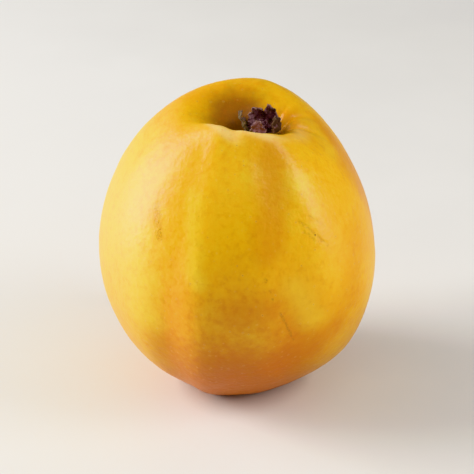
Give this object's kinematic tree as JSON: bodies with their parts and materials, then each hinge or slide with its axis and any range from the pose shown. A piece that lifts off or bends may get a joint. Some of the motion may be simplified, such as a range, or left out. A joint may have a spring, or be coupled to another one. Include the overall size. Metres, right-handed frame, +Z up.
{
  "type": "quince",
  "caption": "Ripe quince fruit: a lopsided, ribbed golden pome with a dried calyx in its top basin and a stub of stalk in its base cavity.",
  "frame": {"origin": "on the ground, under the middle of the fruit's bounding box", "axes": "+Z up from the stem end, on which the fruit stands, towards the calyx end; -Y is the front, towards which the calyx end leans; +X is the side on which the calyx sits off centre"},
  "size_m": [0.0918, 0.0936, 0.103],
  "materials": {
    "quince_skin": "satin, waxy golden-yellow skin",
    "dried_calyx": "dry, crumpled, mauve-brown",
    "stalk_wood": "dry, woody, brown"
  },
  "bodies": {
    "root": {"fruit": "quince_skin", "calyx": "dried_calyx", "stalk": "stalk_wood"}
  },
  "joints": []
}
